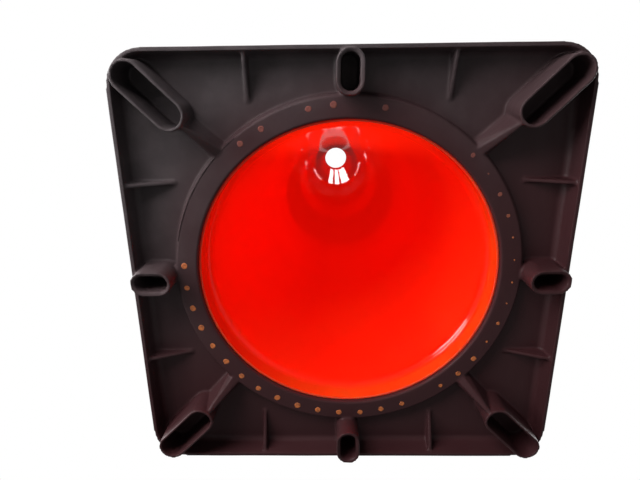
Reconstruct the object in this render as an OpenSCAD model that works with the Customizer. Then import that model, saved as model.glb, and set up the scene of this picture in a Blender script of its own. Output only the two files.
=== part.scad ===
// Traffic cone: a flexible PVC cone locked into a square rubber base, with two slip-on
// reflective collars. It stands upright: z = 0 is the ground and +Z runs up the cone's axis.

/* [Base] */
// Width of the square base
base_w = 356; // [350:1:370]
// Radius of the base's corners, seen from above
base_corner_r = 28; // [24:1:30]
// Height of the skirt's lower edge above the ground, which is how far the feet stand proud
skirt_z = 12; // [9:1:14]
// Height of the flat top of the base
base_top_z = 34; // [32:1:38]
// Thickness of the base's top plate
plate_t = 5; // [4:0.5:6]
// Thickness of the skirt at its lower edge
skirt_t = 3; // [2.5:0.5:4]

/* [Ring round the opening] */
// Radius of the opening that the cone comes out of
opening_r = 126; // [122:0.5:127]
// Radial width of the ring under the base
ring_w = 18.5; // [17:0.5:19]
// Height of the ring's lower face
ring_z = 21; // [20:1:23]
// Radial width of the raised collar on top of the base, round the cone's foot
boss_w = 22; // [16:1:28]
// Height of that collar above the base
boss_h = 8; // [5:1:12]

/* [Feet] */
// Outer radius of a corner foot's round ends
corner_foot_r = 11.75; // [11:0.25:12]
// Wall thickness of a corner foot
corner_foot_wall = 2.3; // [2:0.1:3.5]
// Distance, along X and Y, from the axis to the outer end of a corner foot
corner_foot_outer = 158.4; // [156:0.1:159]
// Distance, along X and Y, from the axis to the inner end of a corner foot
corner_foot_inner = 131.2; // [130:0.1:134]
// Outer radius of an edge foot's round ends
edge_foot_r = 10.2; // [9:0.1:10.5]
// Wall thickness of an edge foot
edge_foot_wall = 3.3; // [2.5:0.1:4]
// Distance from the axis to the outer end of an edge foot
edge_foot_outer = 165.7; // [164:0.1:166.5]
// Distance from the axis to the inner end of an edge foot
edge_foot_inner = 153.3; // [152:0.1:155]

/* [Ribs] */
// Distance of the short ribs from the middle of each side
rib_at = 77; // [60:1:95]
// Length of the short ribs, in from the skirt
rib_len = 36; // [28:1:38]
// Thickness of the short ribs
rib_t = 3.4; // [2.5:0.1:5]

/* [Cone] */
// Overall height
total_h = 711; // [680:1:740]
// Radius of the hole in the tip
tip_hole_r = 22.8; // [20:0.1:25]
// Length of the straight part of the tip hole
tip_hole_len = 16; // [12:1:24]
// Wall thickness
wall_t = 3.2; // [2.8:0.1:4]
// Height of the cone's lower rim, up inside the ring
rim_z = 25; // [24:0.5:26]
// Inner radius of the cone just above the ledge inside its foot
ledge_r = 119.5; // [118:0.5:120]

/* [Locking studs] */
// Number of studs that lock the cone's flange into the ring
stud_count = 44; // [24:1:48]
// Radius of the circle that the studs are on
stud_circle_r = 137; // [136.5:0.1:137.5]
// Radius of a stud
stud_r = 3.1; // [2:0.1:3.2]
// Angle of the first stud from the X axis
stud_turn = 3.3; // [0:0.1:8]

/* [Collars] */
// Height of the lower collar's bottom edge
lower_z = 330; // [315:1:345]
// Height of the lower collar, a 4 inch band
lower_h = 102; // [95:1:104]
// Height of the upper collar's bottom edge
upper_z = 483; // [466:1:490]
// Height of the upper collar, a 6 inch band
upper_h = 153; // [140:1:156]
// Thickness of a collar's PVC sleeve
sleeve_t = 1.2; // [0.8:0.1:2]
// Thickness of the prismatic sheeting welded on the sleeve
film_t = 0.5; // [0.4:0.1:1]
// Bare hem left on the sleeve above and below the sheeting
hem = 4; // [2:0.5:8]
// Clearance between a sleeve and the cone
fit_gap = 0.3; // [0.3:0.05:1]

/* [Hidden] */

$fn = 96;
eps = 0.5;
hull_fn = 32;
half_w = base_w / 2;
web_z = base_top_z - plate_t;
ring_r = opening_r + ring_w;
boss_top_z = base_top_z + boss_h;

// The feet reach up into the top plate, and the pockets in them nearly to their top
foot_top_z = base_top_z - 1.5;
foot_floor = 1.5;
rim_step = 1;

// The cone's straight foot, its shoulder and the straight taper above it
foot_wall = 2;
foot_in_r = opening_r - foot_wall;
ledge_low_z = web_z + 7;
ledge_top_z = ledge_low_z + 5;
shoulder_z = boss_top_z + 3;
shoulder_h = 5;
tip_hole_z = total_h - tip_hole_len;
taper = (ledge_r - tip_hole_r) / (tip_hole_z - ledge_top_z);
tip_out_r = tip_hole_r + wall_t;
tip_round = 2;

// The flange lies inside the ring, between two layers of rubber
flange_w = 15.5;
flange_z = web_z - 3;
flange_t = 3.5;
stud_recess = 0.4;

// Radius of the cone's inner and outer wall at height z, above the ledge
function wall_in(z) = ledge_r - taper * (z - ledge_top_z);
function wall_out(z) = wall_in(z) + wall_t;

// Points of a quarter circle of radius r round (cx, cy), from angle a0 to a1
function arc(cx, cy, r, a0, a1, n = 6) =
    [for (i = [0 : n]) let (a = a0 + (a1 - a0) * i / n) [cx + r * cos(a), cy + r * sin(a)]];

// Rounded square slab: half width w, corner radius r, from height z0 to z1, as a hull's child
module square_layer(w, r, z0, z1) {
    for (sx = [-1, 1], sy = [-1, 1])
        translate([sx * (w - r), sy * (w - r), z0])
            cylinder(h = z1 - z0, r = r, $fn = hull_fn);
}

// Outside of the base: an upright side with a rounded top edge
module base_outside() {
    edge_round = 4;
    hull() {
        square_layer(half_w, base_corner_r, skirt_z, skirt_z + 8);
        square_layer(half_w - 1, base_corner_r - 1, base_top_z - edge_round, base_top_z - edge_round + 0.2);
        square_layer(half_w - 2, base_corner_r - 2, base_top_z - 1.3, base_top_z - 1.2);
        square_layer(half_w - 5, base_corner_r - 5, base_top_z - 0.2, base_top_z);
    }
}

// Hollow under the base, inside the skirt
module base_hollow() {
    draft = 2.2;
    hull() {
        square_layer(half_w - skirt_t, base_corner_r - skirt_t, skirt_z - eps, skirt_z);
        square_layer(half_w - skirt_t - draft, base_corner_r - skirt_t, web_z - 3, web_z - 2.9);
        square_layer(half_w - skirt_t - draft - 3, base_corner_r - skirt_t - 3, web_z - 0.1, web_z);
    }
}

// Oval with round ends at [x0, y0] and [x1, y1], of radius r, as a straight prism
module oval(x0, y0, x1, y1, r, z0, z1) {
    long = norm([x1 - x0, y1 - y0]);
    translate([x0, y0, z0])
        rotate([0, 0, atan2(y1 - y0, x1 - x0)])
            linear_extrude(z1 - z0)
                union() {
                    circle(r);
                    translate([long, 0]) circle(r);
                    translate([0, -r]) square([long, 2 * r]);
                }
}

// Shape of one corner foot, reduced by inset on its radius: the whole foot or the pocket in it
module corner_oval(inset, z0, z1) {
    oval(corner_foot_inner, corner_foot_inner, corner_foot_outer, corner_foot_outer,
         corner_foot_r - inset, z0, z1);
}

// The same for the edge foot on the +X side
module edge_oval(inset, z0, z1) {
    oval(edge_foot_inner, 0, edge_foot_outer, 0, edge_foot_r - inset, z0, z1);
}

// Short rib on the +X side, at distance y from the middle: tallest at the skirt
module short_rib(y) {
    outer = half_w - skirt_t + 1;
    inner = half_w - skirt_t - rib_len;
    translate([0, y + rib_t / 2, 0])
        rotate([90, 0, 0])
            linear_extrude(rib_t)
                polygon([[outer, skirt_z + 2], [outer, web_z + 1], [inner, web_z + 1],
                         [inner, web_z - 0.8], [outer - 8, skirt_z + 4]]);
}

// Gusset from a corner foot to the ring: a narrow crest, wide at its root and at the ring
module corner_gusset() {
    foot_end = corner_foot_inner * sqrt(2) - corner_foot_r;
    rotate([0, 0, 45])
        hull() {
            translate([foot_end, -1.2, 1.5]) cube([1, 2.4, 1]);
            translate([foot_end, -6, web_z]) cube([1, 12, 1]);
            translate([ring_r - 3, -3.5, ring_z + 0.3]) cube([1, 7, 1]);
            translate([ring_r - 3, -8, web_z]) cube([1, 16, 1]);
        }
}

// Ring under the base and the raised collar on top, as one turned profile
module ring_profile() {
    polygon(concat(
        [[opening_r, ring_z + 1.2], [opening_r + 1.2, ring_z], [ring_r - 1.5, ring_z],
         [ring_r, ring_z + 1.5], [ring_r + 1.2, web_z + 1], [opening_r + boss_w, web_z + 1],
         [opening_r + boss_w, base_top_z], [opening_r + boss_w - 2, base_top_z + 1.5]],
        arc(opening_r + 6, boss_top_z - 4, 4, 60, 90),
        [[opening_r, boss_top_z]]));
}

// Studs, or the holes for them, down through the ring from the flange
module studs(r, z0, z1) {
    for (i = [0 : stud_count - 1])
        rotate([0, 0, stud_turn + i * 360 / stud_count])
            translate([stud_circle_r, 0, z0])
                cylinder(h = z1 - z0, r = r, $fn = 24);
}

// Flat ring that the flange fills
module flange_ring() {
    translate([0, 0, flange_z])
        difference() {
            cylinder(h = flange_t, r = opening_r + flange_w);
            translate([0, 0, -eps]) cylinder(h = flange_t + 2 * eps, r = opening_r);
        }
}

// Square rubber base with its skirt, ring and ribs; the feet are cut out of it and fill their cuts
module base() {
    color([0.13, 0.12, 0.125])
    difference() {
        union() {
            difference() {
                base_outside();
                base_hollow();
            }
            rotate_extrude() ring_profile();
            for (a = [0 : 90 : 270])
                rotate([0, 0, a]) {
                    short_rib(rib_at);
                    short_rib(-rib_at);
                    corner_gusset();
                }
        }
        translate([0, 0, skirt_z - eps]) cylinder(h = total_h, r = opening_r);
        flange_ring();
        studs(stud_r, ring_z - eps, flange_z + eps);
        for (a = [0 : 90 : 270])
            rotate([0, 0, a]) {
                corner_oval(0, 0, foot_top_z);
                edge_oval(0, 0, foot_top_z);
            }
    }
}

// Four hollow diagonal feet at the base's corners
module corner_feet() {
    color([0.13, 0.12, 0.125])
    for (a = [0 : 90 : 270])
        rotate([0, 0, a])
            difference() {
                corner_oval(0, 0, foot_top_z);
                corner_oval(corner_foot_wall, -eps, foot_top_z - foot_floor);
            }
}

// Four hollow feet in the middle of the base's edges, with a stepped rim
module edge_feet() {
    color([0.13, 0.12, 0.125])
    for (a = [0 : 90 : 270])
        rotate([0, 0, a])
            difference() {
                edge_oval(0, 0, foot_top_z);
                edge_oval(edge_foot_wall, -eps, foot_top_z - foot_floor);
                edge_oval(edge_foot_wall / 2, -eps, rim_step);
            }
}

// Cone with its straight foot, the ledge inside it and a rounded tip
module cone_body() {
    color([0.98, 0.16, 0.04])
    rotate_extrude()
        polygon(concat(
            [[foot_in_r, rim_z], [foot_in_r, ledge_low_z], [ledge_r + 1, ledge_top_z - 1.5],
             [ledge_r, ledge_top_z], [tip_hole_r, tip_hole_z], [tip_hole_r, total_h]],
            arc(tip_out_r - tip_round, total_h - tip_round, tip_round, 90, 0),
            [[tip_out_r, tip_hole_z], [wall_out(shoulder_z + shoulder_h), shoulder_z + shoulder_h],
             [opening_r - 2, shoulder_z + 1.4], [opening_r, shoulder_z - 1], [opening_r, rim_z]]));
}

// The cone's flange inside the base, with the studs that lock it
module anchor_flange() {
    color([0.90, 0.28, 0.08]) {
        flange_ring();
        studs(stud_r, ring_z + stud_recess, flange_z + eps);
    }
}

// Tapered band between heights z0 and z1, from gap to gap + t outside the cone's wall
module band(z0, z1, gap, t) {
    rotate_extrude()
        polygon([[wall_out(z0) + gap, z0], [wall_out(z0) + gap + t, z0],
                 [wall_out(z1) + gap + t, z1], [wall_out(z1) + gap, z1]]);
}

// Slip-on PVC sleeve of a collar
module sleeve(z, h) {
    color([0.93, 0.93, 0.90]) band(z, z + h, fit_gap, sleeve_t);
}

// Retroreflective sheeting round a sleeve
module sheeting(z, h) {
    color([0.80, 0.82, 0.84]) band(z + hem, z + h - hem, fit_gap + sleeve_t, film_t);
}

module lower_sleeve() { sleeve(lower_z, lower_h); }
module lower_sheeting() { sheeting(lower_z, lower_h); }
module upper_sleeve() { sleeve(upper_z, upper_h); }
module upper_sheeting() { sheeting(upper_z, upper_h); }

base();
corner_feet();
edge_feet();
cone_body();
anchor_flange();
lower_sleeve();
lower_sheeting();
upper_sleeve();
upper_sheeting();
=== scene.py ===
"""Looks for the traffic cone: moulded rubber base, translucent PVC cone, locking studs and two reflective collars.
Every length is in metres, in the CAD model's own frame: +Z up the cone's axis, z = 0 on the ground."""
import math
import random

import bmesh
import bpy
from mathutils import Matrix, Vector, noise


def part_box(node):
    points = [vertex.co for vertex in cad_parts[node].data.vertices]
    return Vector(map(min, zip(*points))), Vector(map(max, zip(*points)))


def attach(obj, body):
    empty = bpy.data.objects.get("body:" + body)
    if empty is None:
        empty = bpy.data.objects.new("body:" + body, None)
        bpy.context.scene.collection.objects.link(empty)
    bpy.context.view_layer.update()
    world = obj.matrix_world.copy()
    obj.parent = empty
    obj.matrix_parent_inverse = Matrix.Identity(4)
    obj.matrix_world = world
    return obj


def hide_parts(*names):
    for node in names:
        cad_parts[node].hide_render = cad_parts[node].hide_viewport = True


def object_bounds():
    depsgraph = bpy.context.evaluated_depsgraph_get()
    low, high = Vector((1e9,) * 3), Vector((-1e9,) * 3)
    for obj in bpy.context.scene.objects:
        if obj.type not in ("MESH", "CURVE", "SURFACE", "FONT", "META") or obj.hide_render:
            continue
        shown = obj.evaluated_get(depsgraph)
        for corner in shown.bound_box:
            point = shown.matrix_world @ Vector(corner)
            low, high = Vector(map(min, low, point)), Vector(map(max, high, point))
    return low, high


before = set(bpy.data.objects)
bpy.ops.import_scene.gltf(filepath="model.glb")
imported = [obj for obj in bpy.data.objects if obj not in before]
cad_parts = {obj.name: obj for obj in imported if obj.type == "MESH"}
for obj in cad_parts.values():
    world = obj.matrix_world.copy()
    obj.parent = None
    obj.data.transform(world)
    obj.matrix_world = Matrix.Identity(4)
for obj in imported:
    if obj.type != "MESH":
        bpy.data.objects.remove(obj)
cad_low, cad_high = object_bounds()

MM = 0.001
NOISE_SEED = 5
noise.seed_set(NOISE_SEED)  # without this, noise_vector starts from the clock and the base's wobble changes each run
BASE_NODES = ("base", "corner_feet", "edge_feet")
BASE_LOW, BASE_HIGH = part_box("base")
CONE_LOW, CONE_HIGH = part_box("cone_body")

# ------------------------------------------------------------------ camera

# The photograph looks up into the upturned base from below, close and with a wide lens
CAMERA_AT = (-0.0160, -0.1499, -0.3524)
CAMERA_TURN = (162.22, -0.90, 0.68)
CAMERA_LENS = 27.0


def make_camera():
    data = bpy.data.cameras.new("photo_camera")
    data.sensor_width = 36.0
    data.lens = CAMERA_LENS
    data.clip_start = 0.01
    camera = bpy.data.objects.new("photo_camera", data)
    camera.location = CAMERA_AT
    camera.rotation_euler = [math.radians(a) for a in CAMERA_TURN]
    bpy.context.scene.collection.objects.link(camera)
    bpy.context.scene.camera = camera


make_camera()

# ------------------------------------------------------------------ node helpers


class Nodes:
    """Short calls for building one material's or the world's node tree."""

    def __init__(self, owner):
        owner.use_nodes = True
        self.tree = owner.node_tree
        self.tree.nodes.clear()

    def add(self, kind, inputs=None, **settings):
        node = self.tree.nodes.new(kind)
        for name, value in settings.items():
            setattr(node, name, value)
        for socket, value in (inputs or {}).items():
            target = node.inputs[socket]
            if isinstance(value, bpy.types.NodeSocket):
                self.tree.links.new(value, target)
            else:
                target.default_value = value
        return node

    def math(self, operation, a, b=0.0):
        return self.add("ShaderNodeMath", {0: a, 1: b}, operation=operation).outputs[0]

    def mix(self, factor, a, b):
        """Colour a where factor is 0 and colour b where it is 1."""
        node = self.add("ShaderNodeMix", data_type="RGBA")
        for socket, value in ((node.inputs[0], factor), (node.inputs[6], a), (node.inputs[7], b)):
            if isinstance(value, bpy.types.NodeSocket):
                self.tree.links.new(value, socket)
            else:
                socket.default_value = value
        return node.outputs[2]

    def noise(self, scale, detail=4.0, roughness=0.55, vector=None, distortion=0.0):
        inputs = {"Scale": scale, "Detail": detail, "Roughness": roughness, "Distortion": distortion}
        if vector is not None:
            inputs["Vector"] = vector
        return self.add("ShaderNodeTexNoise", inputs).outputs[0]

    def position(self):
        """The shading point in the row frame at rest: the object's own coordinates."""
        return self.add("ShaderNodeTexCoord").outputs["Object"]

    def stretch(self, vector, x, y, z):
        return self.add("ShaderNodeVectorMath", {0: vector, 1: (x, y, z)}, operation="MULTIPLY").outputs[0]

    def split(self, vector):
        return self.add("ShaderNodeSeparateXYZ", {0: vector}).outputs

    def radius(self, x, y):
        return self.math("SQRT", self.math("ADD", self.math("MULTIPLY", x, x), self.math("MULTIPLY", y, y)))

    def remap(self, value, low, high, to_low=0.0, to_high=1.0):
        """A smooth step from to_low at value low to to_high at value high, flat beyond both."""
        inputs = {0: value, 1: low, 2: high, 3: to_low, 4: to_high}
        return self.add("ShaderNodeMapRange", inputs, interpolation_type="SMOOTHSTEP").outputs[0]

    def bump(self, height, strength, distance, normal=None):
        inputs = {"Height": height, "Strength": strength, "Distance": distance}
        if normal is not None:
            inputs["Normal"] = normal
        return self.add("ShaderNodeBump", inputs).outputs[0]

    def finish_surface(self, inputs):
        shader = self.add("ShaderNodeBsdfPrincipled", inputs)
        self.add("ShaderNodeOutputMaterial", {"Surface": shader.outputs[0]})


def new_material(name):
    material = bpy.data.materials.new(name)
    return material, Nodes(material)


# ------------------------------------------------------------------ materials


def rubber_material():
    """Black moulded rubber: satin skin, flow marks and dust in the grain.
    It has painted light and shade: a red glow painted near the cone, and painted shade that makes it darker and
    redder toward +X and +Y, to match the photograph."""
    material, n = new_material("base_rubber")
    at = n.position()
    x, y, _ = n.split(at)
    broad = n.noise(7.0, 3.0, vector=at)
    mottle = n.noise(60.0, 5.0, vector=at)
    grain = n.noise(650.0, 4.0, 0.65, vector=at)
    flow = n.noise(26.0, 5.0, 0.6, n.stretch(at, 1.0, 0.28, 1.0), distortion=1.2)
    black = n.mix(n.remap(mottle, 0.35, 0.7), (0.060, 0.0480, 0.0510, 1), (0.078, 0.0630, 0.0660, 1))
    near_cone = n.remap(n.radius(x, y), 0.185, 0.120)
    # Painted light: a patchy red glow from the cone, painted on the rubber near it
    painted_cone_glow = n.math("MULTIPLY", near_cone, n.remap(broad, 0.30, 0.60, 0.55, 0.95))
    # Painted shade: darker and redder toward +X and +Y
    painted_shade_far_side = n.remap(n.math("ADD", n.math("MULTIPLY", x, 0.6), y), -0.20, 0.04, 0.0, 0.95)
    painted_light_and_tone = n.math("MAXIMUM", painted_cone_glow, n.math("MAXIMUM", painted_shade_far_side, n.remap(broad, 0.48, 0.68, 0.0, 0.6)))
    rubber = n.mix(painted_light_and_tone, black, (0.045, 0.0135, 0.0155, 1))
    dust_spots = n.remap(n.noise(1100.0, 2.0, vector=at), 0.70, 0.79)
    dusty = n.math("MULTIPLY", dust_spots, n.remap(flow, 0.45, 0.75, 0.05, 0.45))
    colour = n.mix(dusty, rubber, (0.15, 0.14, 0.135, 1))
    roughness = n.remap(flow, 0.25, 0.75, 0.44, 0.62)
    skin = n.bump(n.math("ADD", grain, n.math("MULTIPLY", mottle, 2.0)), 0.22, 0.0006)
    relief = n.bump(flow, 0.25, 0.0012, skin)
    n.finish_surface({"Base Color": colour, "Roughness": roughness, "Normal": relief,
                      "Specular IOR Level": 0.40})
    return material


# Painted light: the cone's emission stands for light coming through its wall, with more of it on the -Y side
PAINTED_GLOW = 0.088
LIT_SIDE_GLOW = 0.38


def cone_material():
    """Glossy fluorescent PVC with light coming through the wall.
    Its own glow is painted light that stands for that light. The -Y side's extra glow, and the more orange foot
    toward +X and +Y, are painted light too, matched to the photograph by place on the cone, and aren't features of
    the real one."""
    material, n = new_material("cone_pvc")
    at = n.position()
    x, y, z = n.split(at)
    cloud = n.noise(7.0, 3.0, vector=at)
    colour = n.mix(n.remap(cloud, 0.35, 0.7), (1.0, 0.020, 0.004, 1), (0.97, 0.013, 0.003, 1))
    flow = n.noise(34.0, 3.0, 0.5, n.stretch(at, 1.0, 1.0, 0.25))
    scuffs = n.noise(160.0, 6.0, 0.7, vector=at)
    polish = n.remap(scuffs, 0.50, 0.85, 0.09, 0.24)
    cut_rim = n.remap(z, 0.0262, 0.0254)
    drawn = n.math("MULTIPLY", polish, n.remap(z, 0.050, 0.080, 1.0, 0.40))
    roughness = n.math("MAXIMUM", drawn, n.math("MULTIPLY", cut_rim, 0.55))
    # Painted light: the foot is made more orange toward +X and +Y, as if lit there
    foot = n.math("MULTIPLY", n.remap(z, 0.045, 0.036), n.remap(n.math("ADD", x, y), -0.02, 0.12, 0.15, 1.0))
    colour = n.mix(foot, colour, (1.0, 0.062, 0.006, 1))
    colour = n.mix(n.math("MULTIPLY", cut_rim, 0.75), colour, (0.50, 0.075, 0.030, 1))
    toward = n.remap(n.math("DIVIDE", y, n.radius(x, y)), -0.72, -1.0)
    along = n.math("MULTIPLY", n.remap(z, 0.028, 0.040), n.remap(z, 0.60, 0.30))
    lit_side = n.math("MULTIPLY", toward, along)
    glow = n.math("ADD", PAINTED_GLOW, n.math("MULTIPLY", lit_side, LIT_SIDE_GLOW))
    relief = n.bump(flow, 0.03, 0.0010)
    n.finish_surface({"Base Color": colour, "Roughness": roughness, "Normal": relief,
                      "Subsurface Weight": 1.0, "Subsurface Radius": (1.0, 0.10, 0.03),
                      "Subsurface Scale": 0.006,
                      "Emission Color": (1.0, 0.02, 0.003, 1), "Emission Strength": glow})
    return material


def stud_material():
    """Dull PVC where the studs were sheared flush, stained by black rubber, and darker toward -Y as photographed."""
    material, n = new_material("stud_pvc")
    at = n.position()
    stain = n.noise(300.0, 5.0, 0.6, vector=at)
    y = n.split(at)[1]
    # Darker toward -Y, set by place on the ring
    darker_to_minus_y = n.remap(y, 0.03, -0.09)
    clean = n.mix(darker_to_minus_y, (0.58, 0.165, 0.048, 1), (0.20, 0.062, 0.052, 1))
    colour = n.mix(n.remap(stain, 0.45, 0.75), clean, (0.17, 0.055, 0.032, 1))
    relief = n.bump(stain, 0.5, 0.0004)
    n.finish_surface({"Base Color": colour, "Roughness": n.remap(stain, 0.3, 0.7, 0.35, 0.6),
                      "Normal": relief})
    return material


def sleeve_material():
    """White PVC sleeve with a fine calendered grain and handling smudges."""
    material, n = new_material("sleeve_pvc")
    at = n.position()
    grain = n.noise(700.0, 3.0, vector=at)
    smudge = n.noise(24.0, 5.0, 0.6, vector=at)
    colour = n.mix(n.remap(smudge, 0.48, 0.8), (0.66, 0.655, 0.63, 1), (0.50, 0.48, 0.45, 1))
    n.finish_surface({"Base Color": colour, "Roughness": n.remap(smudge, 0.3, 0.8, 0.36, 0.55),
                      "Normal": n.bump(grain, 0.15, 0.0003)})
    return material


def film_material():
    """Prismatic sheeting: silvery cells of tiny cube corners under a clear glossy face."""
    material, n = new_material("reflective_film")
    at = n.position()
    prism = n.add("ShaderNodeTexVoronoi", {"Vector": at, "Scale": 1500.0}, feature="F1")
    patch = n.noise(90.0, 2.0, vector=at)
    glint = n.remap(prism.outputs["Distance"], 0.1, 0.7, 0.25, 1.0)
    silver = n.mix(glint, (0.34, 0.355, 0.385, 1), (0.58, 0.60, 0.63, 1))
    smudge = n.remap(n.noise(18.0, 6.0, 0.65, vector=at), 0.52, 0.8, 0.0, 0.4)
    colour = n.mix(smudge, silver, (0.38, 0.37, 0.35, 1))
    metal = n.remap(patch, 0.3, 0.7, 0.35, 0.6)
    relief = n.bump(prism.outputs["Distance"], 0.25, 0.0002)
    n.finish_surface({"Base Color": colour, "Metallic": metal, "Roughness": n.remap(patch, 0.3, 0.7, 0.26, 0.38),
                      "Coat Weight": 0.8, "Coat Roughness": 0.06, "Normal": relief})
    return material


RUBBER = rubber_material()
CONE = cone_material()
STUD = stud_material()
SLEEVE = sleeve_material()
FILM = film_material()

# ------------------------------------------------------------------ mesh helpers


def new_piece(name, mesh, material, body):
    mesh.materials.clear()
    mesh.materials.append(material)
    mesh.shade_smooth()
    piece = bpy.data.objects.new(name, mesh)
    bpy.context.scene.collection.objects.link(piece)
    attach(piece, body)
    return piece


def mesh_from(bm, name):
    bmesh.ops.recalc_face_normals(bm, faces=bm.faces)
    mesh = bpy.data.meshes.new(name)
    bm.to_mesh(mesh)
    bm.free()
    return mesh


def arc(centre, radius, start, end, steps):
    """Points (radius, height) of an arc round centre, from angle start to end in degrees."""
    angles = [math.radians(start + (end - start) * i / steps) for i in range(steps + 1)]
    return [(centre[0] + radius * math.cos(a), centre[1] + radius * math.sin(a)) for a in angles]


def stretch_between(start, end, steps):
    """Points between two others, both left out."""
    return [tuple(a + (b - a) * i / steps for a, b in zip(start, end)) for i in range(1, steps)]


def lathe(name, profile, angles, shape):
    """A closed ring of revolution about +Z from (radius, height) points that go once round its section.
    shape(radius, height, angle) gives the radius there, since the ring isn't quite round."""
    bm = bmesh.new()
    rings = []
    for a in angles:
        ring = []
        for r, z in profile:
            out = shape(r, z, a)
            ring.append(bm.verts.new((out * math.cos(a), out * math.sin(a), z)))
        rings.append(ring)
    count = len(profile)
    for i in range(len(rings)):
        here, there = rings[i], rings[(i + 1) % len(rings)]
        for j in range(count):
            k = (j + 1) % count
            bm.faces.new((here[j], here[k], there[k], there[j]))
    return mesh_from(bm, name)


def even_angles(count, close_at, close_span, close_steps):
    """Angles once round, with a few more of them on both sides of each angle in close_at."""
    angles = {round(2 * math.pi * i / count, 6) for i in range(count)}
    for centre in close_at:
        for i in range(-close_steps, close_steps + 1):
            angles.add(round((centre + close_span * i / close_steps) % (2 * math.pi), 6))
    return sorted(angles)


def turn_between(a, b):
    """Smallest angle between two directions, signed."""
    return (a - b + math.pi) % (2 * math.pi) - math.pi


def apply_modifiers(piece):
    """Writes the piece's evaluated mesh back as its own mesh."""
    bpy.context.view_layer.update()
    graph = bpy.context.evaluated_depsgraph_get()
    mesh = bpy.data.meshes.new_from_object(piece.evaluated_get(graph))
    piece.modifiers.clear()
    old = piece.data
    piece.data = mesh
    bpy.data.meshes.remove(old)


# ------------------------------------------------------------------ base

STUD_COUNT = 44
STUD_CIRCLE = 137 * MM
STUD_RADIUS = 3.1 * MM
STUD_TURN = math.radians(3.3)
RING_FACE = 21 * MM
# Studs by how much of their end shows: all of it, a part, or a speck; rubber has flowed over the others
OPEN_STUDS = {4, 5, *range(8, 23), 28, 29, 31, 32, 34}
PART_STUDS = {2, 6, 38, 40, 41}
SPECK_STUDS = {0, 1, 3, 39, 42, 43}


def stud_place(index):
    a = STUD_TURN + 2 * math.pi * index / STUD_COUNT
    return Vector((STUD_CIRCLE * math.cos(a), STUD_CIRCLE * math.sin(a), 0))


VOXEL = 1.0 * MM
STUD_PLUG = 3 * MM
MOST_TRIANGLES = 190000
GROUND_LIP = 2.5 * MM
SKIRT_LIP = 3.0 * MM
LIP_WEAR = 0.55 * MM
UNEVEN = 0.16 * MM


def roughen_rubber(mesh):
    """Rubber's small unevenness: a slow wobble everywhere, worn rims on the feet and a ragged skirt edge."""
    for v in mesh.vertices:
        at = v.co.copy()
        slow = noise.noise_vector(at * 28.0) * UNEVEN
        edge_noise = 0.5 + 0.5 * noise.noise(at * 170.0)
        low_rim = max(0.0, 1.0 - at.z / GROUND_LIP)
        skirt = at.z - BASE_LOW.z
        on_skirt = max(abs(at.x), abs(at.y)) > BASE_HIGH.x - 6 * MM
        ragged = max(0.0, 1.0 - skirt / SKIRT_LIP) if on_skirt and skirt > -MM else 0.0
        v.co = at + slow + Vector((0, 0, LIP_WEAR * edge_noise * max(low_rim, ragged)))
        v.co.x = min(max(v.co.x, cad_low[0]), cad_high[0])
        v.co.y = min(max(v.co.y, cad_low[1]), cad_high[1])
        v.co.z = max(v.co.z, cad_low[2])


def make_base():
    """The base and its feet as the one moulding that they are, its rubber closed over the studs, every edge soft."""
    bm = bmesh.new()
    for node in BASE_NODES:
        bm.from_mesh(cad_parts[node].data)
    for i in range(STUD_COUNT):
        plug = Matrix.Translation(stud_place(i) + Vector((0, 0, RING_FACE + STUD_PLUG / 2)))
        bmesh.ops.create_cone(bm, cap_ends=True, segments=16, radius1=STUD_RADIUS + 0.3 * MM,
                              radius2=STUD_RADIUS + 0.3 * MM, depth=STUD_PLUG, matrix=plug)
    mesh = bpy.data.meshes.new("base_moulding")
    bm.to_mesh(mesh)
    bm.free()
    base = new_piece("base_moulding", mesh, RUBBER, "cone")
    remesh = base.modifiers.new("voxels", "REMESH")
    remesh.mode = "VOXEL"
    remesh.voxel_size = VOXEL
    soften = base.modifiers.new("soften", "SMOOTH")
    soften.factor = 0.5
    soften.iterations = 3
    apply_modifiers(base)
    roughen_rubber(base.data)
    thin = base.modifiers.new("thin", "DECIMATE")
    thin.ratio = min(1.0, MOST_TRIANGLES / (2 * len(base.data.polygons)))
    apply_modifiers(base)
    base.data.shade_smooth()
    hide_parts(*BASE_NODES)


make_base()

# ------------------------------------------------------------------ studs

STUD_WOBBLE = 0.16


def wobbly_disc(bm, centre, radius, top, levels, seed, segments=20):
    """A closed lump: levels are (share of the radius, height) from its rim to its middle, over a flat top."""

    def ring(share, z):
        points = []
        for i in range(segments):
            a = 2 * math.pi * i / segments
            swell = 1 + STUD_WOBBLE * noise.noise(Vector((math.cos(a), math.sin(a), seed)) * 1.7)
            r = radius * share * swell
            points.append(bm.verts.new((centre.x + r * math.cos(a), centre.y + r * math.sin(a), z)))
        return points

    rings = [ring(1.0, top)] + [ring(share, z) for share, z in levels]
    for outer, inner in zip(rings, rings[1:]):
        for i in range(segments):
            k = (i + 1) % segments
            bm.faces.new((outer[i], outer[k], inner[k], inner[i]))
    middle = bm.verts.new((centre.x, centre.y, levels[-1][1]))
    back = bm.verts.new((centre.x, centre.y, top))
    for i in range(segments):
        k = (i + 1) % segments
        bm.faces.new((rings[-1][i], rings[-1][k], middle))
        bm.faces.new((rings[0][k], rings[0][i], back))


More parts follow.
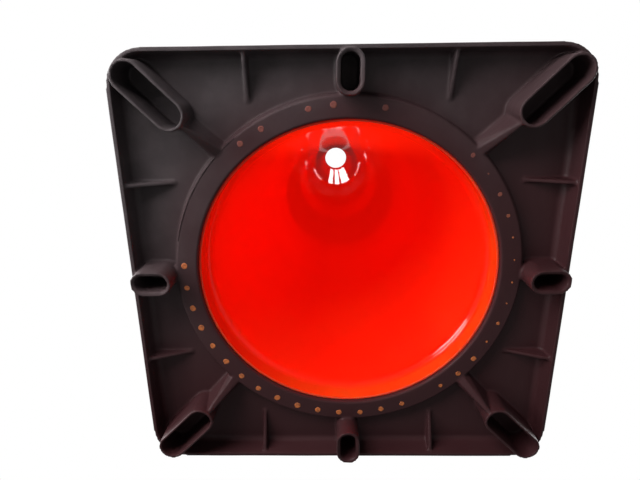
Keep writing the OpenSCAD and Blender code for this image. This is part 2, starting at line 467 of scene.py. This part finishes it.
def make_stud_ends():
    """The studs' sheared ends: uneven discs almost flush with the ring, each as wide as the rubber leaves it bare."""
    rng = random.Random(11)
    bm = bmesh.new()
    for i in range(STUD_COUNT):
        if i in OPEN_STUDS:
            bare = rng.uniform(2.35, 2.85) * MM
        elif i in PART_STUDS:
            bare = rng.uniform(1.5, 2.0) * MM
        elif i in SPECK_STUDS:
            bare = rng.uniform(0.7, 1.0) * MM
        else:
            continue
        aside = Vector((rng.uniform(-0.3, 0.3), rng.uniform(-0.3, 0.3), 0)) * MM
        levels = [(0.98, RING_FACE - 0.03 * MM), (0.90, RING_FACE - 0.14 * MM), (0.70, RING_FACE - 0.20 * MM),
                  (0.42, RING_FACE - 0.16 * MM), (0.18, RING_FACE - 0.08 * MM)]
        wobbly_disc(bm, stud_place(i) + aside, bare, RING_FACE + 0.8 * MM, levels, 3.7 * i)
    new_piece("stud_ends", mesh_from(bm, "stud_ends"), STUD, "cone")


def make_ring_fin():
    """A torn fin of rubber along a stretch of the ring's outer edge, where the mould's halves met."""
    radius, start, end, steps = 143.2 * MM, math.radians(192), math.radians(232), 80
    bm = bmesh.new()
    sections = []
    for i in range(steps + 1):
        t = i / steps
        a = start + (end - start) * t
        fade = math.sin(math.pi * t) ** 0.5
        tall = MM * (0.15 + 0.5 * fade * (0.6 + 0.4 * noise.noise(Vector((t * 37, 1.5, 0)))))
        thick = MM * 0.28 * (0.4 + 0.6 * fade)
        section = []
        for dr, dz in ((-thick, 0.4 * MM), (-thick * 0.4, -tall * 0.8), (0, -tall), (thick * 0.4, -tall * 0.8),
                       (thick, 0.4 * MM)):
            section.append(bm.verts.new(((radius + dr) * math.cos(a), (radius + dr) * math.sin(a), RING_FACE + dz)))
        sections.append(section)
    for here, there in zip(sections, sections[1:]):
        for j in range(5):
            k = (j + 1) % 5
            bm.faces.new((here[j], here[k], there[k], there[j]))
    bm.faces.new(sections[0])
    bm.faces.new(sections[-1])
    new_piece("ring_fin", mesh_from(bm, "ring_fin"), RUBBER, "cone")


make_stud_ends()
make_ring_fin()
flange_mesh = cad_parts["anchor_flange"].data
flange_mesh.materials.clear()
flange_mesh.materials.append(STUD)

# ------------------------------------------------------------------ cone

WALL = 3.2 * MM
FOOT_WALL = 2.0 * MM
LEDGE_LOW = 39 * MM
LEDGE_TOP = 41 * MM
LEDGE_RADIUS = 119.5 * MM
LEDGE_ROUND = 12 * MM
LEDGE_RISE = 8.5 * MM
LEDGE_TILT = 50
SHOULDER = 50 * MM
TIP_HOLE = 22.8 * MM
TIP_TUBE = 16 * MM
SEAMS = (0.0, math.pi)


def cone_profile():
    """The cone's section from its lower rim up the inside, over the tip and down the outside."""
    out_r, rim, top = CONE_HIGH.x, CONE_LOW.z, CONE_HIGH.z
    foot_r = out_r - FOOT_WALL
    tube = top - TIP_TUBE
    inner_top = (TIP_HOLE, tube)
    slope = (LEDGE_RADIUS - TIP_HOLE) / (tube - LEDGE_TOP)
    shoulder = (LEDGE_RADIUS - slope * (SHOULDER - LEDGE_TOP) + WALL, SHOULDER)
    tip_out = TIP_HOLE + WALL
    points = arc((foot_r + 0.8 * MM, rim + 0.8 * MM), 0.8 * MM, 270, 180, 4)
    points += stretch_between((foot_r, rim + 0.8 * MM), (foot_r, LEDGE_LOW), 4)
    points += [(foot_r, LEDGE_LOW), (foot_r - 0.08 * MM, LEDGE_LOW + 0.55 * MM)]
    steep = math.degrees(math.atan(slope))
    ledge_end = (LEDGE_RADIUS - slope * LEDGE_RISE, LEDGE_TOP + LEDGE_RISE)
    centre = (ledge_end[0] + LEDGE_ROUND * math.cos(math.radians(steep)),
              ledge_end[1] + LEDGE_ROUND * math.sin(math.radians(steep)))
    points += arc(centre, LEDGE_ROUND, 180 + LEDGE_TILT, 180 + steep, 14)
    points += stretch_between(ledge_end, inner_top, 64)
    points += [(TIP_HOLE, tube), (TIP_HOLE, top - 6 * MM), (TIP_HOLE, top - 1.2 * MM)]
    points += arc((TIP_HOLE + 0.8 * MM, top - 0.8 * MM), 0.8 * MM, 165, 90, 3)
    points += arc((tip_out - 1.6 * MM, top - 1.6 * MM), 1.6 * MM, 90, 0, 5)
    points += [(tip_out, tube + 1 * MM)]
    points += stretch_between((tip_out, tube), shoulder, 64)
    points += [shoulder, (out_r - 2.2 * MM, SHOULDER - 3.2 * MM)]
    points += arc((out_r - 2.2 * MM, SHOULDER - 5.8 * MM), 2.2 * MM, 80, 0, 4)
    points += stretch_between((out_r, SHOULDER - 6 * MM), (out_r, rim + 0.8 * MM), 4)
    points += arc((out_r - 0.8 * MM, rim + 0.8 * MM), 0.8 * MM, 0, -90, 4)
    return points


def cone_shape(r, z, angle):
    """Slow waves in the PVC wall, fainter inside, and two parting lines up its outside."""
    if z < SHOULDER:
        return r
    away = Vector((math.cos(angle), math.sin(angle), z * 9.0))
    slope = (LEDGE_RADIUS - TIP_HOLE) / (CONE_HIGH.z - TIP_TUBE - LEDGE_TOP)
    middle = LEDGE_RADIUS - slope * (z - LEDGE_TOP) + WALL / 2
    wave = (0.10 if r > middle else 0.02) * MM * noise.noise(away * 2.0)
    line = 0.0
    if r > middle and z < CONE_HIGH.z - 3 * MM:
        for seam in SEAMS:
            aside = turn_between(angle, seam) * r / (0.7 * MM)
            line = max(line, 0.18 * MM * math.exp(-aside * aside))
    return r + wave + line


def make_cone():
    angles = even_angles(288, SEAMS, 0.03, 6)
    mesh = lathe("cone_shell", cone_profile(), angles, cone_shape)
    cone = new_piece("cone_shell", mesh, CONE, "cone")
    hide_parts("cone_body")


make_cone()

# ------------------------------------------------------------------ collars

OVERLAP_AT = math.radians(110)
OVERLAP_HALF = 9 * MM
OVERLAP_STEP = 0.45 * MM
SLEEVE_T = 1.2 * MM
FILM_T = 0.5 * MM
LATTICE_CELL = 15 * MM
LATTICE_LINE = 1.1 * MM
LATTICE_HEIGHT = 0.16 * MM


def overlap_rise(radius, angle):
    """How far the welded overlap of a collar's sheet lifts its outside at this angle."""
    aside = abs(turn_between(angle, OVERLAP_AT)) * radius
    return OVERLAP_STEP * min(1.0, max(0.0, (OVERLAP_HALF - aside) / (0.8 * MM)))


def band_profile(low, high, thick, rows):
    """Section of a tapered band between two inner points, with rounded hems."""
    (r0, z0), (r1, z1) = low, high
    edge = thick * 0.45

    def at(z, out):
        return (r0 + (r1 - r0) * (z - z0) / (z1 - z0) + out, z)

    points = [at(z0 + edge, 0), at(z1 - edge, 0)]
    points += [at(z1 - edge * 0.3, thick * 0.15), at(z1, thick * 0.5), at(z1 - edge * 0.3, thick * 0.85)]
    points += [at(z1 - edge + (z0 + 2 * edge - z1) * i / rows, thick) for i in range(rows + 1)]
    points += [at(z0 + edge * 0.3, thick * 0.85), at(z0, thick * 0.5), at(z0 + edge * 0.3, thick * 0.15)]
    return points


def collar_radii(node, thick):
    """The band's inner radius at its lower and upper edge, from the CAD node's widest and its narrowest."""
    low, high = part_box(node)
    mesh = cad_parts[node].data
    top_r = min(math.hypot(v.co.x, v.co.y) for v in mesh.vertices if v.co.z > high.z - 0.05 * MM)
    return (high.x - thick, low.z), (top_r, high.z)


def collar_angles(count, radius):
    """Angles once round a collar, closer together at both ends of its overlap."""
    half = OVERLAP_HALF / radius
    return even_angles(count, (OVERLAP_AT - half, OVERLAP_AT + half), 0.02, 4)


def inner_radius(low, high, z):
    """The inner radius at height z of a taper between two (radius, height) points."""
    return low[0] + (high[0] - low[0]) * (z - low[1]) / (high[1] - low[1])


def make_sleeve(node):
    """The collar's plain sleeve, thicker at the overlap."""
    low, high = collar_radii(node, SLEEVE_T)
    angles = collar_angles(240, low[0])

    def shape(r, z, angle):
        return r + (overlap_rise(r, angle) if r > inner_radius(low, high, z) + SLEEVE_T * 0.4 else 0.0)

    mesh = lathe(node + "_shell", band_profile(low, high, SLEEVE_T, 24), angles, shape)
    sleeve = new_piece(node + "_shell", mesh, SLEEVE, node.replace("sleeve", "collar"))
    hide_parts(node)


def make_film(node):
    """Sheeting with a raised diamond lattice of sealing lines and a plain sealed border."""
    low, high = collar_radii(node, FILM_T)
    mid_r, length = (low[0] + high[0]) / 2, high[1] - low[1]
    around = round(2 * math.pi * mid_r / LATTICE_CELL)
    tall = max(1, round(length / LATTICE_CELL))

    def shape(r, z, angle):
        if r < inner_radius(low, high, z) + FILM_T * 0.4:
            return r + overlap_rise(r, angle)
        across, up = angle / (2 * math.pi) * around, (z - low[1]) / length * tall
        to_line = min(abs((across + up + 0.5) % 1 - 0.5), abs((across - up + 0.5) % 1 - 0.5)) * LATTICE_CELL * 0.7
        to_edge = min(z - low[1], high[1] - z) - 2 * MM
        line = math.exp(-(to_line / LATTICE_LINE) ** 2)
        border = min(1.0, max(0.0, -to_edge / (0.6 * MM)))
        return r + overlap_rise(r, angle) + LATTICE_HEIGHT * max(line, border) - LATTICE_HEIGHT

    angles = collar_angles(480, low[0])
    mesh = lathe(node + "_film", band_profile(low, high, FILM_T, round(length / (1.1 * MM))), angles, shape)
    film = new_piece(node + "_film", mesh, FILM, node.replace("sheeting", "collar"))
    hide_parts(node)


for level in ("lower", "upper"):
    make_sleeve(level + "_sleeve")
    make_film(level + "_sheeting")

# ------------------------------------------------------------------ floor, light and background


def make_floor():
    """Pale ground, seen from above only, so that the photograph's view from below looks through it."""
    size, drop = 8.0, 0.4 * MM
    bm = bmesh.new()
    bmesh.ops.create_grid(bm, x_segments=1, y_segments=1, size=size / 2, matrix=Matrix.Translation((0, 0, -drop)))
    mesh = bpy.data.meshes.new("floor")
    bm.to_mesh(mesh)
    bm.free()
    material, n = new_material("floor_pale")
    side = n.add("ShaderNodeNewGeometry").outputs["Backfacing"]
    pale = n.add("ShaderNodeBsdfDiffuse", {"Color": (0.80, 0.80, 0.79, 1)}).outputs[0]
    clear = n.add("ShaderNodeBsdfTransparent").outputs[0]
    mixed = n.add("ShaderNodeMixShader", {0: side, 1: pale, 2: clear}).outputs[0]
    n.add("ShaderNodeOutputMaterial", {"Surface": mixed})
    mesh.materials.append(material)
    floor = bpy.data.objects.new("floor", mesh)
    bpy.context.scene.collection.objects.link(floor)
    floor.visible_shadow = False
    floor.visible_diffuse = False
    floor.visible_glossy = False
    floor.visible_transmission = False


def make_world():
    """White behind the object. Soft light, strong just over the horizon toward +X and -X, weaker toward +Y and -Y,
    and weakest overhead and from below."""
    world = bpy.data.worlds.new("studio")
    bpy.context.scene.world = world
    n = Nodes(world)
    direction = n.add("ShaderNodeTexCoord").outputs["Generated"]
    x, y, z = n.split(direction)
    below = n.remap(z, -0.05, 0.06, 0.12, 1.0)
    above = n.remap(z, 0.50, 0.84, 1.0, 0.012)
    sides = n.remap(n.math("ABSOLUTE", y), 0.40, 0.90, 1.65, 0.60)
    glow = n.math("MULTIPLY", n.math("MULTIPLY", below, above), sides)
    soft = n.add("ShaderNodeBackground", {"Color": (1, 1, 1, 1), "Strength": glow}).outputs[0]
    white = n.add("ShaderNodeBackground", {"Color": (1, 1, 1, 1), "Strength": 1.0}).outputs[0]
    seen = n.add("ShaderNodeLightPath").outputs["Is Camera Ray"]
    n.add("ShaderNodeOutputWorld", {"Surface": n.add("ShaderNodeMixShader", {0: seen, 1: soft, 2: white}).outputs[0]})


def area_light(name, at, aim, size, radiance, glossy=True):
    """A rectangular softbox of the given width and height, as bright as radiance says.
    One that isn't glossy is a fill: it lights surfaces and stays out of their reflections."""
    data = bpy.data.lights.new(name, "AREA")
    data.shape = "RECTANGLE"
    data.size, data.size_y = size
    data.energy = radiance * math.pi * size[0] * size[1]
    light = bpy.data.objects.new(name, data)
    light.location = at
    light.rotation_euler = (Vector(aim) - Vector(at)).to_track_quat("-Z", "Y").to_euler()
    light.visible_camera = False
    light.visible_glossy = glossy
    bpy.context.scene.collection.objects.link(light)


def overhead_strips():
    """Three softboxes side by side above the tip, whose reflections are the streaks under the hole."""
    tip = Vector((0, 0, CONE_HIGH.z))
    distance, rise = 1.8, math.radians(63.7)
    for name, turn, span in (("strip_left", -62, 20), ("strip_middle", -91, 21), ("strip_right", -126, 37)):
        a = math.radians(turn)
        toward = Vector((math.cos(rise) * math.cos(a), math.cos(rise) * math.sin(a), math.sin(rise)))
        width = distance * math.cos(rise) * math.radians(span)
        area_light(name, tip + toward * distance, tip, (width, 0.20), 6.0)


make_floor()
make_world()
overhead_strips()
area_light("ceiling_card", (0.033, 0.412, 2.66), (0, 0, 0.70), (0.30, 0.040), 0.13)
area_light("key_low", (-0.91, -0.344, -0.33), (0.095, 0.072, 0.042), (0.45, 0.32), 9.0)
area_light("fill_below", (-0.40, -0.58, -0.28), (-0.02, -0.04, 0.03), (0.5, 0.4), 9.5, glossy=False)
area_light("side_left", (-1.7, -0.3, 0.7), (0, 0, 0.35), (0.9, 1.2), 8.0)
area_light("side_right", (1.7, 0.5, 0.9), (0, 0, 0.35), (0.9, 1.2), 5.5)
bpy.context.scene.view_settings.view_transform = "Standard"
